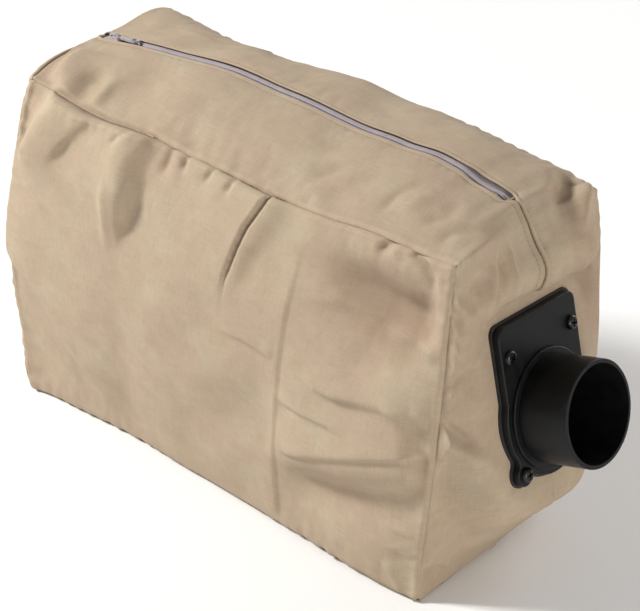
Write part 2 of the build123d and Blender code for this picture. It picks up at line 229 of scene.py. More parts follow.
def seams(side):
    """The four seams of one side panel; side is -1 for the near one and 1 for the far one."""
    near = side < 0
    top = [(x, side * SEAM_Y, TOP_Z + z) for x, z in (TOP_SEAM_NEAR if near else TOP_SEAM_FAR)]
    back = with_y(BACK_SEAM_NEAR if near else BACK_SEAM_FAR, side * SEAM_Y)
    front = [(x, y, max(z, FLOOR_GAP)) for x, y, z in (FRONT_SEAM_NEAR if near else FRONT_SEAM_FAR)]
    base = [(x, y, FLOOR_GAP) for x, y in (BASE_SEAM_NEAR if near else BASE_SEAM_FAR)]
    back[0] = base[0]
    return spline(top, NX), spline(base, NX), spline(back, NZ), spline(front, NZ)


def side_panel(side):
    """Grid of a side panel: first along X, then upwards."""
    top, base, back, front = seams(side)
    panel = coons(base, top, back, front)
    panel[:, :, 1] += side * SIDE_BULGE * dome(NX + 1, NZ + 1)
    return panel


def gusset(side):
    """Grid of one half of the band over the top and down the front: along it, then to the middle."""
    top, base, back, front = seams(side)
    edge = np.vstack([top, front[::-1][1:]])
    zip_x = np.linspace(ZIP_BACK_X, ZIP_END_X, NX - 1)
    zip_line = np.column_stack([zip_x, side * lip_gap(zip_x), track_z(zip_x)])
    down = spline(centre_front(), NZ + 2)
    middle = np.vstack([zip_line[:-1], down])
    middle[-1] = (BASE_FRONT_MIDDLE[0], 0, FLOOR_GAP)
    station = np.arange(NX + NZ + 1, dtype=float)
    on_front = smooth(NX - 4, NX + 5, station)[:, None]
    span = np.abs(middle[:, 1] - edge[:, 1])[:, None]
    inward = np.array([[0.0, -side, 0.0]])
    up, ahead = np.array([[0, 0, 1.0]]), np.array([[1.0, 0, 0]])
    leave = span * (inward + (1 - on_front) * 0.62 * up + on_front * 0.30 * ahead)
    arrive = span * (inward + (1 - on_front) * 0.16 * up)
    last = smooth(NX + NZ - 8, NX + NZ, station)[:, None]
    leave[:, [0, 2]] *= 1 - last
    arrive[:, [0, 2]] *= 1 - last
    return hermite(edge, middle, leave, arrive, np.linspace(0, 1, NY + 1))


def on_pad(points):
    """1 where the clamp ring holds the cloth against the flange, falling off around it, and each
    point's place along the spigot's axis."""
    offset = points - FLANGE
    u, v, w = offset[..., 1], offset @ UP_PLATE, offset @ AXIS
    outside_u = np.abs(u) - 24
    outside_v = np.abs(v - 8) - 37
    outside = np.hypot(np.maximum(outside_u, 0), np.maximum(outside_v, 0)) - 12
    near_front = smooth(-60, -40, w)
    return (1 - smooth(0, 24, outside)) * near_front, w


def clamp(points):
    """Presses the cloth onto the flange's plane."""
    held, w = on_pad(points)
    return points + (held * (CLOTH_W - w))[..., None] * AXIS


def coarse_panels():
    """The six panels as plain grids that share their seams."""
    panels = {
        "side_near": side_panel(-1),
        "side_far": side_panel(1),
        "gusset_near": clamp(gusset(-1)),
        "gusset_far": clamp(gusset(1)),
    }
    near, far = panels["gusset_near"], panels["gusset_far"]
    top_back = np.vstack([near[0], far[0][::-1][1:]])
    front_low = np.vstack([near[-1], far[-1][::-1][1:]])
    back_low = spline([(-147, -SEAM_Y, FLOOR_GAP), (-152, -30, FLOOR_GAP), (-153, 0, FLOOR_GAP),
                       (-153, 30, FLOOR_GAP), (-150, SEAM_Y, FLOOR_GAP)], 2 * NY)
    back = coons(panels["side_near"][0], panels["side_far"][0], back_low, top_back)
    back[:, :, 0] -= BACK_BULGE * dome(NZ + 1, 2 * NY + 1)
    panels["back"] = back
    panels["base"] = coons(panels["side_near"][:, 0], panels["side_far"][:, 0], back_low, front_low)
    return panels


# 1 where a grid's own normals already point out of the bag
OUTWARD = {"side_near": 1, "side_far": -1, "gusset_near": 1, "gusset_far": -1, "back": 1, "base": -1}
panels = coarse_panels()


# ---- meshes

def cell_quads(index):
    """The four corners' numbers of each cell of a grid of numbers."""
    return np.stack([index[:-1, :-1], index[1:, :-1], index[1:, 1:], index[:-1, 1:]], -1)


def grid_faces(rows, columns, outward, keep=None):
    """Quads of a grid, wound so that their normals point out of the bag."""
    quads = cell_quads(np.arange(rows * columns).reshape(rows, columns))
    if outward < 0:
        quads = quads[..., ::-1]
    quads = quads.reshape(-1, 4)
    return quads if keep is None else quads[keep.ravel()]


def mesh_object(name, points, faces, uv=None):
    """Smooth-shaded object from points in millimetres."""
    mesh = bpy.data.meshes.new(name)
    points = np.asarray(points, float).reshape(-1, 3)
    faces = np.asarray(faces)
    mesh.from_pydata((points * MM).tolist(), [], faces.tolist())
    if uv is not None:
        layer = mesh.uv_layers.new(name="flat")
        layer.data.foreach_set("uv", (np.asarray(uv).reshape(-1, 2)[faces.ravel()] * MM).ravel())
    mesh.polygons.foreach_set("use_smooth", np.ones(len(mesh.polygons), bool))
    mesh.validate()
    made = bpy.data.objects.new(name, mesh)
    bpy.context.scene.collection.objects.link(made)
    return made


# ---- cloth simulation

def spot(points):
    """Whole numbers that are the same for points within about 0.02 mm of each other."""
    return np.round(points * 50).astype(np.int64)


def weld(grids):
    """All panels as one mesh: unique points, and each panel's index into them."""
    stacked = np.vstack([grid.reshape(-1, 3) for grid in grids.values()])
    keys = spot(stacked)
    _, first, inverse = np.unique(keys, axis=0, return_index=True, return_inverse=True)
    inverse = inverse.ravel()
    index, at = {}, 0
    for name, grid in grids.items():
        count = grid.shape[0] * grid.shape[1]
        index[name] = inverse[at:at + count].reshape(grid.shape[:2])
        at += count
    return stacked[first], index


def welded_faces(index):
    """Quads of all the panels, by the welded points' numbers."""
    return np.vstack([ids.ravel()[grid_faces(*ids.shape, OUTWARD[name])] for name, ids in index.items()])


NEARLY_FREE, ON_FLOOR = 0.02, 1.0


def hold_weights(points, index):
    """Seams, zip lips, flange and base stay put; the rest of the cloth is nearly free."""
    hold = np.full(len(points), NEARLY_FREE)
    for ids in index.values():
        for line in (ids[0], ids[-1], ids[:, 0], ids[:, -1]):
            hold[line] = 1
    held, _ = on_pad(points)
    hold[held > 0.97] = 1
    hold[points[:, 2] < ON_FLOOR] = 1
    return hold


SETTLE_FRAMES = 26
START_UNEVENNESS = 0.15
MOST_SHIFT = 5.5
CLOTH_SETTINGS = {
    "quality": 6, "mass": 0.25, "tension_stiffness": 18, "compression_stiffness": 18,
    "shear_stiffness": 6, "bending_stiffness": 3.0, "tension_damping": 8, "compression_damping": 8,
    "shear_damping": 6, "air_damping": 2, "vertex_group_mass": "hold", "pin_stiffness": 1,
    "shrink_min": -0.016, "use_pressure": True, "uniform_pressure_force": 1.0,
}


def simulate(grids):
    """Lets slightly roomy cloth settle between its seams, swollen by the air of the machine."""
    points, index = weld(grids)
    rng = np.random.default_rng(7)
    faces = welded_faces(index)
    hold = hold_weights(points, index)
    uneven = rng.normal(0, START_UNEVENNESS, points.shape) * (hold < 1)[:, None]
    body = mesh_object("settling_cloth", points + uneven, faces)
    group = body.vertex_groups.new(name="hold")
    for weight in np.unique(hold):
        group.add(np.flatnonzero(hold == weight).tolist(), float(weight), "REPLACE")
    cloth = body.modifiers.new("cloth", "CLOTH")
    for key, value in CLOTH_SETTINGS.items():
        setattr(cloth.settings, key, value)
    cloth.settings.effector_weights.gravity = 0
    cloth.collision_settings.use_self_collision = False
    cloth.collision_settings.use_collision = False
    scene = bpy.context.scene
    cloth.point_cache.frame_start, cloth.point_cache.frame_end = 1, SETTLE_FRAMES
    for step in range(1, SETTLE_FRAMES + 1):
        scene.frame_set(step)
    settled = body.evaluated_get(bpy.context.evaluated_depsgraph_get())
    moved = np.zeros(len(points) * 3, np.float32)
    settled.data.vertices.foreach_get("co", moved)
    moved = moved.reshape(-1, 3).astype(float) / MM
    shift = moved - points
    reach = np.linalg.norm(shift, axis=1, keepdims=True)
    shift *= np.minimum(1, MOST_SHIFT / np.maximum(reach, 1e-6))
    scene.frame_set(1)
    bpy.data.objects.remove(body)
    return {name: points[ids] + even_out(shift[ids]) for name, ids in index.items()}


def even_out(shift, rounds=5):
    """Averages a panel's shifts with their neighbours, all but its border: only broad folds stay."""
    shift = shift.copy()
    for _ in range(rounds):
        for axis in (0, 1):
            line = np.moveaxis(shift, axis, 0)
            line[1:-1, 1:-1] = (0.25 * line[:-2] + 0.5 * line[1:-1] + 0.25 * line[2:])[:, 1:-1]
    return shift


panels = simulate(panels)


# ---- finer cloth

# fine lines in each cell, and their places in a cell that touches a seam
FINE = 4
EDGE_CELL = [0, 0.09, 0.2, 0.34, 0.5, 0.66, 0.83]


def stations(cells, low_edge=True, high_edge=True, middle_edge=False):
    """Places of the fine grid lines, in cells, closer together beside a seam."""
    places = []
    for cell in range(cells):
        beside_low = low_edge and cell == 0 or middle_edge and cell == cells // 2
        beside_high = high_edge and cell == cells - 1 or middle_edge and cell == cells // 2 - 1
        if beside_low:
            places += [cell + share for share in EDGE_CELL]
        elif beside_high:
            places += [cell] + [cell + 1 - share for share in EDGE_CELL[:0:-1]]
        else:
            places += [cell + step / FINE for step in range(FINE)]
    return np.array(places + [cells], float)


def weights(cells, places):
    """Matrix that takes values on the coarse lines to the fine ones along a smooth curve."""
    matrix = np.zeros((len(places), cells + 1))
    for row, place in enumerate(places):
        cell = min(int(place), cells - 1)
        t = place - cell
        share = 0.5 * np.array([2 * t**2 - t**3 - t, 2 - 5 * t**2 + 3 * t**3,
                                t + 4 * t**2 - 3 * t**3, t**3 - t**2])
        for offset, value in zip((-1, 0, 1, 2), share):
            column = cell + offset
            if column < 0:
                matrix[row, 0] += 2 * value
                matrix[row, 1] -= value
            elif column > cells:
                matrix[row, cells] += 2 * value
                matrix[row, cells - 1] -= value
            else:
                matrix[row, column] += value
    return matrix


ALONG_X = stations(NX)
UP_Z = stations(NZ)
BAND = np.concatenate([ALONG_X, NX + NZ - UP_Z[::-1][1:]])
FULL_Y = stations(2 * NY, middle_edge=True)
SIDE_LINES = (NX, ALONG_X, NZ, UP_Z)
BAND_LINES = (NX + NZ, BAND, NY, stations(NY))
LINES = {
    "side_near": SIDE_LINES,
    "side_far": SIDE_LINES,
    "gusset_near": BAND_LINES,
    "gusset_far": BAND_LINES,
    "back": (NZ, UP_Z, 2 * NY, FULL_Y),
    "base": (NX, ALONG_X, 2 * NY, FULL_Y),
}


def refine(grid, name):
    """The panel's smooth surface through its coarse points, on the fine lines."""
    rows, row_places, columns, column_places = LINES[name]
    return np.einsum("ai,ijk,bj->abk", weights(rows, row_places), grid, weights(columns, column_places))


def ease_to(grid, axis, at_end, wanted):
    """Moves one border of a grid onto a wanted line, and the rows beside it part of the way."""
    rows = np.moveaxis(grid, axis, 0)
    if at_end:
        rows = rows[::-1]
    gap = wanted - rows[0]
    count = min(14, len(rows))
    for row in range(count):
        rows[row] += gap * (1 - smooth(0, count, row))
    return grid


def join_borders(fine):
    """Panels that share a seam get exactly the same line there."""
    for side in ("near", "far"):
        panel, band = fine["side_" + side], fine["gusset_" + side]
        seam = np.vstack([panel[:, -1], panel[-1, ::-1][1:]])
        ease_to(band, 1, False, seam)
    near, far = fine["gusset_near"], fine["gusset_far"]
    zip_end = int(np.argmin(np.abs(BAND - (NX - 2))))
    far[zip_end:, -1] = near[zip_end:, -1]
    top_back = np.vstack([near[0], far[0][::-1][1:]])
    front_low = np.vstack([near[-1], far[-1][::-1][1:]])
    ease_to(fine["back"], 1, False, fine["side_near"][0])
    ease_to(fine["back"], 1, True, fine["side_far"][0])
    ease_to(fine["back"], 0, True, top_back)
    ease_to(fine["base"], 1, False, fine["side_near"][:, 0])
    ease_to(fine["base"], 1, True, fine["side_far"][:, 0])
    ease_to(fine["base"], 0, True, front_low)
    ease_to(fine["base"], 0, False, fine["back"][0])
    return fine


fine = join_borders({name: refine(grid, name) for name, grid in panels.items()})


def grid_normals(grid, outward):
    """Unit normals of a grid's points, out of the bag."""
    rows = np.gradient(grid, axis=0)
    columns = np.gradient(grid, axis=1)
    normal = np.cross(rows, columns) * outward
    return normal / np.maximum(np.linalg.norm(normal, axis=-1, keepdims=True), 1e-9)


def flat_coordinates(grid):
    """Where each point lies on the flat cut cloth, in millimetres."""
    u = np.concatenate([np.zeros((1, grid.shape[1])),
                        np.cumsum(np.linalg.norm(np.diff(grid, axis=0), axis=-1), axis=0)])
    v = np.concatenate([np.zeros((grid.shape[0], 1)),
                        np.cumsum(np.linalg.norm(np.diff(grid, axis=1), axis=-1), axis=1)], axis=1)
    return np.stack([u, v], -1)


# ---- folds

OPEN_END = 0.055


def along_path(a, b, path, fades=(1, 1)):
    """Signed distance of the points (a, b) from a path, and how far along it they lie, 0 to 1.
    A fade below OPEN_END lets the path run straight on past that end."""
    path = np.array(path, float)
    runs = np.linalg.norm(np.diff(path, axis=0), axis=1)
    nearest = np.full(a.shape, 1e9)
    share, sign = np.zeros(a.shape), np.ones(a.shape)
    done = 0.0
    for number, (start, run, ahead) in enumerate(zip(path, runs, np.diff(path, axis=0) / runs[:, None])):
        first = -1e3 if number == 0 and fades[0] < OPEN_END else 0
        last = 1e3 if number == len(runs) - 1 and fades[1] < OPEN_END else run
        t = np.clip((a - start[0]) * ahead[0] + (b - start[1]) * ahead[1], first, last)
        off_a, off_b = a - start[0] - t * ahead[0], b - start[1] - t * ahead[1]
        distance = np.hypot(off_a, off_b)
        closer = distance < nearest
        nearest = np.where(closer, distance, nearest)
        share = np.where(closer, (done + t) / runs.sum(), share)
        sign = np.where(closer, np.where(ahead[0] * off_b - ahead[1] * off_a >= 0, 1, -1), sign)
        done += run
    return nearest, np.clip(share, 0, 1), sign


def envelope(share, fade_in, fade_out):
    """1 along a fold, easing to 0 over the given shares at its two ends, unless that end is open."""
    start = 1 if fade_in < OPEN_END else smooth(-1e-6, fade_in, share)
    end = 1 if fade_out < OPEN_END else 1 - smooth(1 - fade_out, 1 + 1e-6, share)
    return start * end


def ridge(a, b, path, height, width, fade_in=0.3, fade_out=0.5):
    """Rounded fold along a path; a negative height is a valley."""
    distance, share, _ = along_path(a, b, path, (fade_in, fade_out))
    return height * np.exp(-(distance / width) ** 2) * envelope(share, fade_in, fade_out)


def step(a, b, path, height, soft, spread, fade_in=0.1, fade_out=0.4):
    """Overlap along a path: the cloth on its left stands higher, and sinks back over the spread.
    soft is the slope's half width, or that at the path's start and at its end."""
    distance, share, sign = along_path(a, b, path, (fade_in, fade_out))
    if isinstance(soft, tuple):
        soft = soft[0] + (soft[1] - soft[0]) * share
    rise = 0.5 + 0.5 * np.tanh(sign * distance / soft)
    fall = np.exp(1 - np.sqrt(1 + (1.6 * distance / spread) ** 2))
    return height * (rise - 0.35) * fall * envelope(share, fade_in, fade_out)


def dent(a, b, centre, radii, turn, depth):
    """Soft oval hollow; a negative depth is a swelling."""
    angle = radians(turn)
    along = (a - centre[0]) * cos(angle) + (b - centre[1]) * sin(angle)
    across = (b - centre[1]) * cos(angle) - (a - centre[0]) * sin(angle)
    return -depth * np.exp(-(along / radii[0]) ** 2 - (across / radii[1]) ** 2)


def scoop(a, b, bottom, tail, lengths, widths, depth):
    """Hollow that deepens evenly from its tail to its bottom, then climbs back steeply."""
    tail = np.array(tail, float) / np.hypot(*tail)
    back = (a - bottom[0]) * tail[0] + (b - bottom[1]) * tail[1]
    across = (b - bottom[1]) * tail[0] - (a - bottom[0]) * tail[1]
    slope = np.clip(1 - back / lengths[0], 0, 1)
    slope = np.where(back > 0, slope, 1 - smooth(0, lengths[1], -back))
    share = np.clip(back / lengths[0], 0, 1)
    width = widths[1] + (widths[0] - widths[1]) * share
    return -depth * slope * np.exp(-np.abs(across / width) ** 3)


SHAPES = {"ridge": ridge, "step": step, "dent": dent, "scoop": scoop}


def waves(a, b, seed, length, height, count=14):
    """Low, even unevenness: a sum of plane waves about one wavelength."""
    rng = np.random.default_rng(seed)
    total = np.zeros(np.shape(a))
    for _ in range(count):
        angle, phase = rng.uniform(0, 2 * pi, 2)
        number = 2 * pi / (length * rng.uniform(0.6, 1.6))
        total += np.sin(number * (a * cos(angle) + b * sin(angle)) + phase)
    return height * total / sqrt(count)


def puckers(along, distance, seed, height, reach, spacing=9.0):
    """Short gathers that leave a seam at right angles and die away over their reach."""
    rng = np.random.default_rng(seed)
    total = np.zeros(np.shape(along))
    for _ in range(7):
        number = 2 * pi / (spacing * rng.uniform(0.6, 1.9))
        total += np.sin(number * (along + rng.uniform(-0.5, 0.5) * distance) + rng.uniform(0, 2 * pi))
    swell = 0.5 + 0.5 * np.sin(along / 31.0 + seed)
    return height * swell * total / sqrt(7) * np.exp(-distance / reach) * (1 - np.exp(-distance / 1.2))


# Folds of the near side, in x and z. A step is high on the left of its path.
SIDE_NEAR_FOLDS = [
    # dark flap below the top seam, and the ridge beside it
    ("step", [(-69, 126), (-65, 146), (-61, 165), (-59, 181), (-56, 200)], 10.0, (1.2, 8.0), 30, 0.5, 0.01),
    ("ridge", [(-77, 120), (-76, 150), (-74, 176)], 1.6, 4.0, 0.4, 0.3),
    # broad hollow at the upper front, steep beside the seam
    ("ridge", [(50, 176), (84, 169), (116, 162), (152, 157)], -11.0, 15.0, 0.55, 0.22),
    ("scoop", (133, 164), (-1.0, 0.12), (74, 16), (24, 18), 3.5),
    ("scoop", (104, 138), (-1.0, 0.3), (50, 36), (15, 24), 5.5),
    ("step", [(58, 150), (90, 152), (120, 147), (150, 140)], 2.5, 3.0, 14, 0.3, 0.1),
    ("ridge", [(110, 145), (132, 150), (149, 146)], 2.4, 3.5, 0.5, 0.05),
    # folds that run to the front seam
    ("step", [(44, 42), (80, 52), (115, 61), (151, 73)], 15.0, (8.0, 13.0), 34, 0.35, 0.12),
    ("step", [(50, 53), (80, 65), (106, 74), (132, 84), (151, 89)], 2.6, 1.5, 14, 0.2, 0.01),
    ("step", [(66, 103), (93, 103), (120, 108), (151, 104)], 5.0, (2.0, 4.5), 18, 0.35, 0.02),
    ("step", [(50, 86), (73, 86), (90, 86), (106, 85)], 3.0, 1.8, 10, 0.2, 0.4),
    ("step", [(3, 110), (27, 111), (49, 108)], 1.8, 1.8, 8, 0.4, 0.1),
    ("ridge", [(126, 40), (140, 39), (151, 36)], 1.1, 2.5, 0.4, 0.1),
    # pulled corner at the back
    ("step", [(-127, 201), (-136, 186), (-143, 175), (-154, 150)], 10.0, (6.0, 3.0), 26, 0.01, 0.3),
    ("step", [(-128, 158), (-106, 184), (-90, 200)], 3.0, (1.5, 4.0), 18, 0.4, 0.01),
    ("ridge", [(-152, 141), (-134, 133), (-113, 120)], 0.9, 2.0, 0.2, 0.4),
    ("step", [(-80, 16), (-108, 43), (-131, 66), (-161, 84)], -6.0, (9.0, 4.0), 26, 0.3, 0.05),
    ("dent", (-45, 105), (105, 95), 0, -4.0),
    ("dent", (115, 20), (50, 24), 15, -4.0),
    ("dent", (20, 60), (46, 20), 25, 2.5),
    # gathers below the top seam
    ("ridge", [(-79, 186), (-68, 198)], -1.7, 2.0, 0.5, 0.02),
    ("ridge", [(-43, 179), (-41, 197)], -1.8, 2.6, 0.5, 0.02),
    ("ridge", [(-32, 185), (-29, 197)], -2.0, 2.2, 0.5, 0.02),
    ("ridge", [(-15, 185), (-9, 197)], -1.6, 2.0, 0.5, 0.02),
    ("ridge", [(1, 184), (6, 196)], -1.7, 2.0, 0.5, 0.02),
    ("ridge", [(102, 189), (111, 199)], -2.4, 3.0, 0.5, 0.02),
    ("ridge", [(124, 199), (136, 190), (142, 176)], -2.6, 3.4, 0.1, 0.5),
    ("ridge", [(112, 195), (129, 181)], 1.5, 3.4, 0.1, 0.5),
    # tuck and pressed crease
    ("step", [(8, 116), (10, 132), (10, 143), (15, 158), (20, 175), (32, 199)], 1.3, 0.5, 14, 0.6, 0.01),
    ("ridge", [(9, 122), (10, 132), (11, 143), (16, 158), (21, 175), (33, 199)], -2.2, 1.1, 0.5, 0.01),
    ("step", [(16, 128), (19, 145), (27, 165), (42, 199)], 4.0, (2.0, 7.0), 22, 0.5, 0.01),
    ("step", [(54, 2), (51, 39), (52, 71), (52, 102), (53, 129), (55, 151), (56, 169), (59, 186)], 1.0, 0.6,
     7, 0.1, 0.2),
    # bottom front corner
    ("ridge", [(133, 28), (143, 17), (151, 5)], -1.5, 3.5, 0.3, 0.05),
    ("ridge", [(129, 20), (140, 5)], 1.4, 2.5, 0.3, 0.05),
]

BAND_START, BAND_CELL = -150, 5

# Folds of the band's near half. The first value is x on the top, and goes on down the front:
# 155 is the crest and 360 the base. The second is y.
BAND_NEAR_FOLDS = [
    # back corner of the top
    ("step", [(-143, -20), (-141, -40), (-137, -54), (-126, -62)], 6.5, 4.0, 20, 0.3, 0.02),
    ("ridge", [(-112, -61), (-115, -48), (-106, -34)], -3.0, 7.0, 0.05, 0.5),
    ("ridge", [(-101, -59), (-102, -45), (-96, -31)], 1.8, 4.0, 0.1, 0.6),
    # soft folds of the top towards the front
    ("ridge", [(50, -60), (63, -44), (80, -30)], 1.9, 6.0, 0.05, 0.5),
    ("ridge", [(42, -48), (58, -36), (76, -25)], -1.7, 6.0, 0.3, 0.5),
    ("ridge", [(47, -61), (60, -56)], -1.8, 3.0, 0.05, 0.5),
    ("ridge", [(98, -56), (98, -40), (108, -24)], -1.4, 3.5, 0.3, 0.5),
    ("ridge", [(108, -52), (112, -36), (118, -26)], 1.3, 5.0, 0.3, 0.5),
    ("ridge", [(120, -50), (130, -38), (126, -22)], -1.5, 4.5, 0.3, 0.4),
    ("ridge", [(134, -56), (140, -44), (152, -33)], -1.5, 3.5, 0.3, 0.4),
    # fold from the far top corner down to the flange's corner
    ("step", [(208, -36), (204, -25), (200, -12), (197, -4), (197, 5)], 8.5, (3.5, 2.4), 26, 0.1, 0.001),
    # slack between the crest, the seam and that fold
    ("ridge", [(158, -19), (172, -22), (188, -20)], 2.0, 1.6, 0.3, 0.3),
    ("ridge", [(160, -27), (172, -30), (186, -33)], -2.6, 2.6, 0.3, 0.3),
    ("ridge", [(162, -34), (173, -38), (186, -42)], 2.4, 2.8, 0.3, 0.3),
    ("ridge", [(163, -45), (176, -48), (186, -50)], -2.4, 3.4, 0.3, 0.3),
    # folds that start at the front seam
    ("ridge", [(174, -62), (188, -51)], 2.2, 2.4, 0.05, 0.5),
    ("ridge", [(181, -62), (193, -54)], -2.0, 2.2, 0.05, 0.5),
    ("ridge", [(190, -62), (200, -54)], 1.2, 2.2, 0.05, 0.5),
    ("ridge", [(201, -62), (208, -55)], 1.3, 2.2, 0.05, 0.5),
    ("step", [(224, -60), (217, -50), (214, -34)], 5.5, 2.4, 20, 0.3, 0.2),
    ("ridge", [(234, -60), (222, -53)], 1.6, 2.2, 0.2, 0.3),
    ("ridge", [(246, -62), (262, -50), (272, -43)], -2.6, 2.8, 0.05, 0.4),
    ("ridge", [(256, -62), (266, -50), (278, -41), (290, -33)], 3.6, 4.0, 0.05, 0.1),
    ("step", [(271, -62), (284, -49), (293, -35), (298, -20)], 4.5, 5.0, 28, 0.01, 0.3),
    ("ridge", [(320, -46), (308, -30), (303, 0)], 3.0, 10.0, 0.3, 0.01),
    ("step", [(337, -66), (343, -51), (353, -40)], 3.0, 1.8, 8, 0.05, 0.4),
]

# Folds of the band's far half, in the same two values.
BAND_FAR_FOLDS = [
    ("step", [(197, -5), (197, 4), (195, 26), (191, 35), (182, 43), (169, 50), (158, 56)], 11.0,
     (2.2, 3.0), 30, 0.001, 0.35),
    ("ridge", [(138, 61), (148, 40), (157, 27), (165, 17)], -5.0, 6.0, 0.25, 0.5),
    ("ridge", [(150, 54), (160, 42), (169, 30)], 3.0, 4.0, 0.1, 0.3),
    ("ridge", [(176, 44), (188, 50), (200, 57)], 1.6, 1.8, 0.2, 0.2),
    ("ridge", [(186, 30), (200, 44), (216, 52)], -1.8, 5.0, 0.3, 0.3),
    ("ridge", [(-128, 20), (-110, 30), (-84, 33)], 1.2, 3.0, 0.3, 0.4),
    ("ridge", [(60, 12), (90, 24), (128, 44)], 1.0, 7.0, 0.3, 0.4),
    ("ridge", [(320, 46), (308, 30), (303, 0)], 3.0, 10.0, 0.3, 0.01),
]


FOLD_GAIN = 1.25


def relief(a, b, folds):
    """Height of a list of folds at the points (a, b)."""
    total = np.zeros(a.shape)
    for kind, *values in folds:
        total += SHAPES[kind](a, b, *values)
    return FOLD_GAIN * total


def from_edges(flat):
    """Distances from the four borders of a panel: low and high rows, low and high columns."""
    u, v = flat[..., 0], flat[..., 1]
    return u, u[-1:] - u, v, v[:, -1:] - v


# Cloth's height at distances from the zip's lip, and from the felled seam down the front
LIP_D = [0, 0.5, 1.3, 2.4, 3.3, 4.2, 6.5, 9]
LIP_H = [-0.9, -0.35, -0.1, -0.35, -1.1, -0.4, -0.05, 0]
FELL_D = [0, 0.4, 1.0, 2.4, 3.3, 4.2, 6.0]
FELL_H = [-0.35, 0.45, 0.6, 0.45, -0.6, -0.1, 0]
SEAM_SINK = 2.3


def seam_sink(distance, depth=SEAM_SINK):
    """How far the cloth rolls down into a plain seam."""
    return -depth * np.exp(-distance / 1.1) + 0.45 * np.exp(-((distance - 3.0) / 1.6) ** 2)


def tight_seam(x):
    """Depth of the near top seam, where the cloth on both sides rolls over it in the middle."""
    return SEAM_SINK + 1.6 * (smooth(-132, -105, x) - 0.7 * smooth(40, 110, x))


def side_relief(grid, flat, side):
    """Height of the folds, gathers and seams of a side panel."""
    a, b = grid[..., 0], grid[..., 2]
    low_x, high_x, low_z, high_z = from_edges(flat)
    inner = smooth(0, 9, np.minimum(np.minimum(low_x, high_x), np.minimum(low_z, high_z)))
    total = waves(a, b, 3 + side, 46, 0.45) * inner + waves(a, b, 9 + side, 17, 0.07) * inner
    total += puckers(a, high_z, 11 + side, 0.5, 12) * smooth(0, 8, low_x) * smooth(0, 8, high_x)
    total += puckers(b, high_x, 21 + side, 0.5, 10) * smooth(0, 8, high_z)
    total += puckers(a, low_z, 31 + side, 0.6, 10) + puckers(b, low_x, 41 + side, 0.5, 10)
    if side < 0:
        fade = smooth(0, 6, np.minimum(low_z, low_x)) * smooth(0, 14, high_x)
        total += relief(a, b, SIDE_NEAR_FOLDS) * fade
    for distance in (low_x, high_x, low_z):
        total += seam_sink(distance)
    total += seam_sink(high_z, tight_seam(a) if side < 0 else SEAM_SINK)
    return total


def gusset_relief(grid, flat, side):
    """Height of the folds, gathers, hems and seams of one half of the band."""
    a, b, c = grid[..., 0], grid[..., 1] * -side, grid[..., 2]
    low_s, high_s, low_v, high_v = from_edges(flat)
    inner = smooth(0, 9, np.minimum(low_v, high_v)) * smooth(0, 9, np.minimum(low_s, high_s))
    held, _ = on_pad(grid)
    free = 1 - smooth(0.3, 0.95, held)
    along = flat[..., 0]
    total = (waves(along, b, 53 + side, 38, 0.35) + waves(along, b, 57 + side, 15, 0.06)) * inner * free
    total += puckers(along, low_v, 61 + side, 0.6, 13) * free
    total += puckers(along, high_v - 3, 71 + side, 0.35, 8, 7) * (high_v > 3) * free
    on_top = 1 - smooth(ZIP_END_X - 3, ZIP_END_X + 1, a) * (c < CREST_Z)
    lip = np.interp(high_v, LIP_D, LIP_H)
    fell = np.interp(high_v, FELL_D, FELL_H) * free
    total += on_top * lip + (1 - on_top) * fell
    place = np.broadcast_to(BAND_CELL * BAND[:, None] + BAND_START, a.shape)
    folds = BAND_NEAR_FOLDS if side < 0 else BAND_FAR_FOLDS
    total += relief(place, grid[..., 1], folds) * free * smooth(0, 4 if side < 0 else 11, low_v)
    total += seam_sink(low_s) + seam_sink(high_s)
    total += seam_sink(low_v, tight_seam(place) if side < 0 else SEAM_SINK)
    return total


def plain_relief(grid, flat, seed, first, second):
    """Height of the unevenness, gathers and seams of a panel in the plane of two axes."""
    a, b = grid[..., first], grid[..., second]
    edges = from_edges(flat)
    inner = smooth(0, 9, np.minimum.reduce(edges))
    total = waves(a, b, seed, 44, 0.6) * inner + waves(a, b, seed + 4, 16, 0.1) * inner
    for distance in edges:
        total += seam_sink(distance)
    total += puckers(b, edges[0], seed + 5, 0.8, 12) + puckers(b, edges[1], seed + 6, 0.6, 12)
    total += puckers(a, edges[2], seed + 7, 0.6, 12) + puckers(a, edges[3], seed + 8, 0.6, 12)
    return total


def base_relief(flat):
    """Height of the shallow seams around the base."""
    total = np.zeros(flat.shape[:2])
    for distance in from_edges(flat):
        total += 0.5 * seam_sink(distance)
    return total


RELIEF = {
    "side_near": lambda grid, flat: side_relief(grid, flat, -1),
    "side_far": lambda grid, flat: side_relief(grid, flat, 1),
    "gusset_near": lambda grid, flat: gusset_relief(grid, flat, -1),
    "gusset_far": lambda grid, flat: gusset_relief(grid, flat, 1),
    "back": lambda grid, flat: plain_relief(grid, flat, 81, 2, 1),
    "base": lambda grid, flat: base_relief(flat),
}


def shared(values, keys):
    """Mean of a vector field over points of different panels that lie on the same spot."""
    _, inverse, count = np.unique(keys, axis=0, return_inverse=True, return_counts=True)
    inverse = inverse.ravel()
    total = np.zeros((len(count), 3))
    np.add.at(total, inverse, values)
    return (total / count[:, None])[inverse]


# relief depth in mm at which the painted shade in the cloth's hollows is full
HOLLOW_DEPTH = 8.0


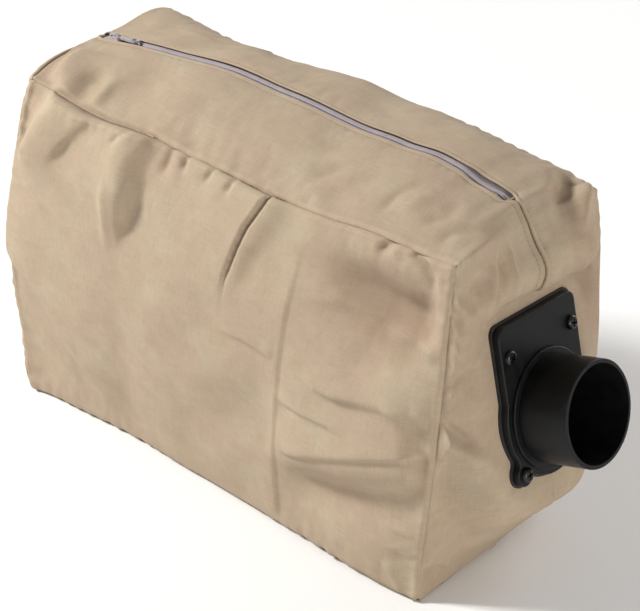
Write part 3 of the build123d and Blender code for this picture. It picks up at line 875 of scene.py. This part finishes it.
def sculpt(grids):
    """Adds every fold and seam to the settled cloth, along normals that the panels share.
    Returns the panels, their flat coordinates and how hollow each point is, 0 to 1, which sets the painted shade
    in the cloth's colour."""
    flats = {name: flat_coordinates(grid) for name, grid in grids.items()}
    keys = spot(np.vstack([grid.reshape(-1, 3) for grid in grids.values()]))
    normals = np.vstack([grid_normals(grid, OUTWARD[name]).reshape(-1, 3) for name, grid in grids.items()])
    normals = shared(normals, keys)
    normals /= np.maximum(np.linalg.norm(normals, axis=1, keepdims=True), 1e-9)
    heights = np.concatenate([RELIEF[name](grid, flats[name]).ravel() for name, grid in grids.items()])
    move = shared(normals * heights[:, None], keys)
    at, made, hollows = 0, {}, {}
    for name, grid in grids.items():
        count = grid.shape[0] * grid.shape[1]
        hollows[name] = np.clip(-heights[at:at + count] / HOLLOW_DEPTH, 0, 1)
        made[name] = grid + move[at:at + count].reshape(grid.shape)
        made[name][..., 2] = np.maximum(made[name][..., 2], FLOOR_GAP)
        at += count
    return made, flats, hollows


fine, flats, hollows = sculpt(fine)


def neck_cut(grid):
    """Cuts the connector's hole: snaps the cloth to a circle and says which quads stay."""
    offset = grid - FLANGE
    u, v, w = offset[..., 1], offset @ UP_PLATE, offset @ AXIS
    radius = np.hypot(u, v)
    inside = (radius < NECK_HOLE) & (np.abs(w - CLOTH_W) < 12)
    push = NECK_HOLE / np.maximum(radius, 1e-6) - 1
    out = (v * push)[..., None] * UP_PLATE
    out[..., 1] += u * push
    cells = inside[:-1, :-1] & inside[1:, :-1] & inside[1:, 1:] & inside[:-1, 1:]
    return np.where(inside[..., None], grid + out, grid), ~cells


# ---- materials

class Finish:
    """A material's node tree, with short calls for adding and joining nodes."""

    def __init__(self, name, **values):
        self.material = bpy.data.materials.new(name)
        self.material.use_nodes = True
        self.tree = self.material.node_tree
        self.shader = self.tree.nodes["Principled BSDF"]
        for key, value in values.items():
            self.shader.inputs[key.replace("_", " ")].default_value = value

    def add(self, kind, inputs=(), **settings):
        node = self.tree.nodes.new("ShaderNode" + kind)
        for key, value in settings.items():
            setattr(node, key, value)
        for key, value in dict(inputs).items():
            self.put(node, key, value)
        return node

    def put(self, node, key, value):
        if isinstance(value, bpy.types.NodeSocket):
            self.tree.links.new(value, node.inputs[key])
        else:
            node.inputs[key].default_value = value

    def math(self, operation, first, second=0.0):
        return self.add("Math", {0: first, 1: second}, operation=operation).outputs[0]

    def scaled(self, source, scale):
        node = self.add("Mapping", {"Vector": source, "Scale": scale})
        return node.outputs[0]

    def noise(self, source, scale, detail=3.0, rough=0.55):
        node = self.add("TexNoise", {"Vector": source, "Scale": scale, "Detail": detail,
                                     "Roughness": rough})
        return node.outputs["Fac"]

    def ramp(self, value, stops):
        node = self.add("ValToRGB", {"Fac": value})
        while len(node.color_ramp.elements) < len(stops):
            node.color_ramp.elements.new(0.5)
        for element, (place, colour) in zip(node.color_ramp.elements, stops):
            element.position = place
            element.color = (*colour, 1)
        return node.outputs["Color"]

    def mix(self, share, first, second, blend="MIX"):
        node = self.add("Mix", data_type="RGBA", blend_type=blend)
        self.put(node, 0, share)
        self.put(node, 6, first)
        self.put(node, 7, second)
        return node.outputs[2]

    def bump(self, height, distance, strength=1.0, normal=None):
        node = self.add("Bump", {"Height": height, "Distance": distance, "Strength": strength})
        if normal is not None:
            self.put(node, "Normal", normal)
        return node.outputs[0]

    def finish(self, **outputs):
        for key, value in outputs.items():
            self.put(self.shader, key.replace("_", " "), value)
        return self.material


def grey(value):
    return (value, value, value)


CALICO = (0.385, 0.298, 0.213)
CALICO_PINK = (0.382, 0.290, 0.212)
CALICO_PALE = (0.396, 0.320, 0.230)
THREAD_PITCH = 0.55


def calico():
    """Unbleached plain-weave cotton: threads, slubs, blotches, a soft nap, and painted shade that darkens and
    reddens its hollows.
    """
    f = Finish("calico_cloth", Roughness=0.92)
    uv = f.add("TexCoord").outputs["UV"]
    mm = f.scaled(uv, (1000, 1000, 1000))
    parts = f.add("SeparateXYZ", {0: mm})
    number = 2 * pi / THREAD_PITCH
    warp = f.math("SINE", f.math("MULTIPLY", parts.outputs[0], number))
    weft = f.math("SINE", f.math("MULTIPLY", parts.outputs[1], number))
    weave = f.math("MULTIPLY", warp, weft)
    slub_across = f.noise(f.scaled(mm, (0.10, 1.7, 1)), 1.0, 2.0)
    slub_along = f.noise(f.scaled(mm, (1.7, 0.10, 1)), 1.0, 2.0)
    slubs = f.math("MULTIPLY", f.math("ADD", slub_across, slub_along), 0.5)
    blotch = f.noise(mm, 0.028, 4.0, 0.6)
    cloud = f.noise(mm, 0.09, 3.0, 0.6)
    base = f.ramp(blotch, [(0.36, CALICO_PINK), (0.5, CALICO), (0.66, CALICO_PALE)])
    shade = f.ramp(slubs, [(0.40, (0.955, 0.95, 0.945)), (0.5, grey(1.02)), (0.60, grey(1.07))])
    colour = f.mix(1.0, base, shade, "MULTIPLY")
    fleck = f.ramp(f.noise(mm, 0.9, 1.0, 0.4), [(0.76, grey(1)), (0.80, (0.80, 0.72, 0.6))])
    colour = f.mix(0.7, colour, f.mix(1.0, colour, fleck, "MULTIPLY"))
    tone = f.ramp(cloud, [(0.3, (0.95, 0.95, 0.94)), (0.7, grey(1.03))])
    colour = f.mix(1.0, colour, tone, "MULTIPLY")
    # Painted shade: the cloth's colour is darkened and reddened where its relief is hollow, standing in for the
    # shading of its folds.
    hollow = f.add("Attribute", attribute_name="hollow").outputs["Fac"]
    painted_shade = f.ramp(hollow, [(0.12, grey(1)), (1.0, (0.865, 0.815, 0.81))])
    colour = f.mix(1.0, colour, painted_shade, "MULTIPLY")
    height = f.math("ADD", f.math("MULTIPLY", weave, 0.25), f.math("MULTIPLY", slubs, 0.8))
    normal = f.bump(height, 0.00022, 0.6)
    normal = f.bump(cloud, 0.0005, 0.15, normal)
    return f.finish(Base_Color=colour, Normal=normal, Sheen_Weight=0.05, Sheen_Roughness=0.5,
                    Specular_IOR_Level=0.15)


def zip_cloth():
    """Polyester tape: fine ribs along the zip, pale lilac."""
    f = Finish("zip_tape_cloth", Roughness=0.55)
    mm = f.scaled(f.add("TexCoord").outputs["UV"], (1000, 1000, 1000))
    parts = f.add("SeparateXYZ", {0: mm})
    rib = f.math("SINE", f.math("MULTIPLY", parts.outputs[0], 2 * pi / 0.7))
    row = f.math("SINE", f.math("MULTIPLY", parts.outputs[1], 2 * pi / 0.9))
    shade = f.noise(mm, 0.12)
    colour = f.ramp(shade, [(0.3, (0.27, 0.225, 0.24)), (0.7, (0.34, 0.29, 0.305))])
    normal = f.bump(f.math("ADD", rib, f.math("MULTIPLY", row, 0.5)), 0.00012, 0.5)
    return f.finish(Base_Color=colour, Normal=normal, Sheen_Weight=0.15)


def object_finish(name, dark, pale, scale, bump, roughness, **values):
    """Plain solid finish with a little variation of tone and a fine grain."""
    f = Finish(name, **values)
    place = f.add("TexCoord").outputs["Object"]
    broad = f.noise(place, scale, 4.0)
    grain = f.noise(place, scale * 14, 2.0)
    colour = f.ramp(broad, [(0.35, dark), (0.65, pale)])
    spread = f.ramp(broad, [(0.3, grey(roughness - 0.05)), (0.7, grey(roughness + 0.06))])
    normal = f.bump(grain, bump, 0.5)
    return f.finish(Base_Color=colour, Roughness=spread, Normal=normal)


FINISHES = {
    "calico": calico(),
    "zip_tape": zip_cloth(),
    "zip_coil": object_finish("coil_nylon", (0.50, 0.46, 0.46), (0.60, 0.56, 0.55), 300, 0.00003, 0.42),
    "thread": object_finish("sewing_thread", (0.24, 0.185, 0.13), (0.33, 0.26, 0.185), 900, 0.00006, 0.7),
    "stop_metal": object_finish("stop_metal", grey(0.42), grey(0.55), 500, 0.00003, 0.35, Metallic=1.0),
    "slider_paint": object_finish("slider_paint", (0.34, 0.30, 0.31), (0.42, 0.38, 0.385), 260,
                                  0.00002, 0.4),
    "black_moulding": object_finish("black_moulding", (0.005, 0.005, 0.0052), (0.009, 0.009, 0.0093), 120,
                                    0.00004, 0.40, Specular_IOR_Level=0.18),
    "gasket_rubber": object_finish("gasket_rubber", grey(0.010), grey(0.016), 160, 0.00005, 0.6),
    "screw_steel": object_finish("screw_steel", (0.03, 0.03, 0.032), (0.05, 0.05, 0.052), 400, 0.00002,
                                 0.32, Metallic=0.85),
}


def dress(piece, slot):
    """Finish and slot of a piece."""
    piece.data.materials.clear()
    piece.data.materials.append(FINISHES[slot])
    return piece


# ---- the cloth pieces

CLOTH_NODES = {
    "side_near": "side_panel_right",
    "side_far": "side_panel_left",
    "gusset_near": "gusset_right",
    "gusset_far": "gusset_left",
    "back": "back_panel",
    "base": "base_panel",
}


def thicken(piece, thickness):
    """Gives a sheet its thickness, below the face that shows."""
    solid = piece.modifiers.new("thickness", "SOLIDIFY")
    solid.thickness = thickness * MM
    solid.offset = -1
    solid.use_even_offset = False
    solid.use_rim = True


def cloth_pieces():
    """The six panels as pieces, each in place of its CAD node."""
    made = {}
    for name, grid in fine.items():
        keep = None
        if name.startswith("gusset"):
            grid, keep = neck_cut(grid)
        faces = grid_faces(grid.shape[0], grid.shape[1], OUTWARD[name], keep)
        piece = mesh_object("calico_" + name, grid, faces, flats[name])
        # how hollow each point is, which sets the painted shade in the cloth's colour
        painted_shade = piece.data.attributes.new("hollow", "FLOAT", "POINT")
        painted_shade.data.foreach_set("value", hollows[name])
        thicken(piece, CLOTH)
        dress(piece, "calico")
        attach(piece, "bag")
        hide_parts(CLOTH_NODES[name])
        made[name] = piece
    return made


cloth = cloth_pieces()

# ---- zip

TAPE_X = (-153.9, 139.6)
TAPE_EDGE = 0.7          # from the middle of the zip to a tape's inner edge
TAPE_RAISE = 1.0         # between the places where the slider stops
COIL_X = (-150.5, 126.6)
COIL_PITCH, COIL_THREAD = 1.35, 0.27
COIL_MIDDLE, COIL_HALF_WIDTH, COIL_HALF_HEIGHT, COIL_DROP = 1.78, 0.86, 0.75, 1.1
TAPE_ROWS = [0, 0.25, 0.6, 1.1, 1.8, 2.6, 3.1, 3.6, 5.0, 7.5, 10.1]


def zip_tape(name, side, node):
    """Woven tape beside the coil; it rolls down to the coil and slopes away below the cloth."""
    x = np.linspace(*TAPE_X, 240)[:, None]
    rows = np.array(TAPE_ROWS)[None]
    across = TAPE_EDGE + rows + 0 * x
    clear = smooth(-135, -126, x) * (1 - smooth(104, 112, x)) + 0.5 * smooth(128, 132, x)
    z = track_z(x) - TAPE_FACE - 1.0 * np.exp(-((across - TAPE_EDGE) / 0.7) ** 2)
    z = z + TAPE_RAISE * clear * (1 - smooth(3.3, 4.4, across))
    z = z - 0.26 * np.maximum(across - 3.6, 0) - 0.3 * (1 - clear) * smooth(2.8, 4.3, across)
    grid = np.stack([x + 0 * across, side * across, z + 0 * across], -1)
    flat = np.stack([x + 0 * across, across], -1)
    tape = mesh_object(name, grid, grid_faces(grid.shape[0], grid.shape[1], 1 if side > 0 else -1), flat)
    thicken(tape, TAPE_THICKNESS)
    dress(tape, "zip_tape")
    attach(tape, "bag")
    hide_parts(node)
    return tape


def tube(centres, radius, sides=6):
    """Points and quads of a round thread along a line of points."""
    ahead = np.gradient(centres, axis=0)
    ahead /= np.linalg.norm(ahead, axis=1, keepdims=True)
    helper = np.where(np.abs(ahead[:, 1:2]) > 0.8, [[1.0, 0, 0]], [[0, 1.0, 0]])
    first = np.cross(ahead, helper)
    first /= np.linalg.norm(first, axis=1, keepdims=True)
    second = np.cross(ahead, first)
    turn = np.linspace(0, 2 * pi, sides, endpoint=False)
    ring = np.cos(turn)[None, :, None] * first[:, None] + np.sin(turn)[None, :, None] * second[:, None]
    points = centres[:, None] + ring * np.broadcast_to(radius, len(centres))[:, None, None]
    index = np.arange(len(centres) * sides).reshape(len(centres), sides)
    return points.reshape(-1, 3), cell_quads(np.concatenate([index, index[:, :1]], axis=1)).reshape(-1, 4)


def zip_coil(name, side, node):
    """Nylon coil below the tape: a flattened spiral."""
    turns = (COIL_X[1] - COIL_X[0]) / COIL_PITCH
    turn = np.linspace(0, 2 * pi * turns, int(turns * 12))
    x = COIL_X[0] + COIL_PITCH * turn / (2 * pi)
    y = side * (COIL_MIDDLE + COIL_HALF_WIDTH * np.cos(turn))
    z = track_z(x) - TAPE_FACE - TAPE_THICKNESS - COIL_DROP + COIL_HALF_HEIGHT * np.sin(turn)
    points, quads = tube(np.column_stack([x, y, z]), COIL_THREAD)
    coil = mesh_object(name, points, quads)
    dress(coil, "zip_coil")
    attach(coil, "bag")
    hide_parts(node)
    return coil


tapes = {
    "near": zip_tape("zip_tape_near", -1, "zipper_tape_right"),
    "far": zip_tape("zip_tape_far", 1, "zipper_tape_left"),
}
zip_coil("zip_coil_near", -1, "zipper_coil_right")
zip_coil("zip_coil_far", 1, "zipper_coil_left")


# ---- stitching

THREAD = 0.24
STITCH, STITCH_GAP = 2.6, 0.35
# share along a stitch and share of the thread's radius there
GRAIN = [(0, 0.25), (0.18, 0.85), (0.5, 1.0), (0.82, 0.85), (1, 0.25)]
LIP_COLUMN = -6


def stitches(name, lines):
    """Rows of lockstitch on the cloth; each line is points with the cloth's normals."""
    points, quads, count = [], [], 0
    for line, normals in lines:
        along = np.concatenate([[0], np.cumsum(np.linalg.norm(np.diff(line, axis=0), axis=1))])
        for start in np.arange(0.4, along[-1] - STITCH, STITCH):
            places = start + (STITCH - STITCH_GAP) * np.array([place for place, _ in GRAIN])
            centre = np.column_stack([np.interp(places, along, line[:, k]) for k in range(3)])
            normal = np.column_stack([np.interp(places, along, normals[:, k]) for k in range(3)])
            lift = np.array([-0.25, 0.05, 0.14, 0.05, -0.25])[:, None]
            made, faces = tube(centre + normal * lift, THREAD * np.array([size for _, size in GRAIN]))
            points.append(made)
            quads.append(faces + count)
            count += len(made)
    row = mesh_object(name, np.vstack(points), np.vstack(quads))
    dress(row, "thread")
    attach(row, "bag")
    return row


def seam_rows(side):
    """Top stitching of one half of the band: along the zip's lip and down the felled seam."""
    name = "gusset_near" if side < 0 else "gusset_far"
    grid = fine[name]
    normals = grid_normals(grid, OUTWARD[name])
    held, _ = on_pad(grid[:, LIP_COLUMN])
    last = int(np.argmax(held > 0.9))
    return [(grid[4:last, LIP_COLUMN], normals[4:last, LIP_COLUMN])]


def ladder_rows():
    """Stitches across the closed end of the zip."""
    rows = []
    for x in (132.4, 134.0, 135.6):
        y = np.linspace(-3.6, 3.6, 9)
        z = track_z(np.full(9, x)) - TAPE_FACE + 0.1
        rows.append((np.column_stack([np.full(9, x), y, z]), np.tile([0.0, 0.0, 1.0], (9, 1))))
    return rows


rows_near = stitches("stitching_near", seam_rows(-1))
rows_far = stitches("stitching_far", seam_rows(1))
ladder = stitches("stitching_zip_end", ladder_rows())


# ---- finishes of the other imported parts


DONE_NODES = set(CLOTH_NODES.values()) | {"zipper_tape_right", "zipper_tape_left", "zipper_coil_right",
                                          "zipper_coil_left"}
for node, part in frame["nodes"].items():
    if node not in DONE_NODES:
        slot = next(row["material_slot"] for row in record["subparts"] if row["node"] == node)
        dress(part, slot)


# ---- studio

def studio():
    """Pale floor, soft world light and four area lamps."""
    floor_mesh = bpy.data.meshes.new("floor")
    half = 8.0
    floor_mesh.from_pydata([(-half, -half, 0), (half, -half, 0), (half, half, 0), (-half, half, 0)], [],
                           [(0, 1, 2, 3)])
    floor = bpy.data.objects.new("floor", floor_mesh)
    bpy.context.scene.collection.objects.link(floor)
    paint = Finish("floor_paint", Roughness=0.9)
    tone = paint.ramp(paint.noise(paint.add("TexCoord").outputs["Object"], 1.5),
                      [(0.3, grey(0.84)), (0.7, grey(0.86))])
    floor.data.materials.append(paint.finish(Base_Color=tone))

    world = bpy.data.worlds.new("studio")
    world.use_nodes = True
    world.node_tree.nodes["Background"].inputs["Color"].default_value = (1.0, 0.96, 0.94, 1)
    world.node_tree.nodes["Background"].inputs["Strength"].default_value = 0.21
    bpy.context.scene.world = world
    bpy.context.scene.view_settings.view_transform = "Standard"

    def lamp(name, place, aim, size, power, colour=(1, 1, 1)):
        data = bpy.data.lights.new(name, "AREA")
        data.size = size
        data.energy = power
        data.color = colour
        made = bpy.data.objects.new(name, data)
        made.location = place
        made.rotation_mode = "QUATERNION"
        made.rotation_quaternion = (Vector(aim) - Vector(place)).to_track_quat("-Z", "Y")
        bpy.context.scene.collection.objects.link(made)

    middle = (0, 0, 0.1)
    lamp("key", (-1.32, -1.0, 1.25), middle, 0.34, 55, (0.99, 1, 0.98))
    lamp("top", (0.2, 0.3, 2.3), middle, 1.6, 3, (1, 0.98, 0.96))
    lamp("fill", (1.6, -0.45, 0.3), middle, 1.0, 18, (1, 0.97, 0.93))
    lamp("back", (0.3, 1.7, 0.9), middle, 1.2, 17)


studio()
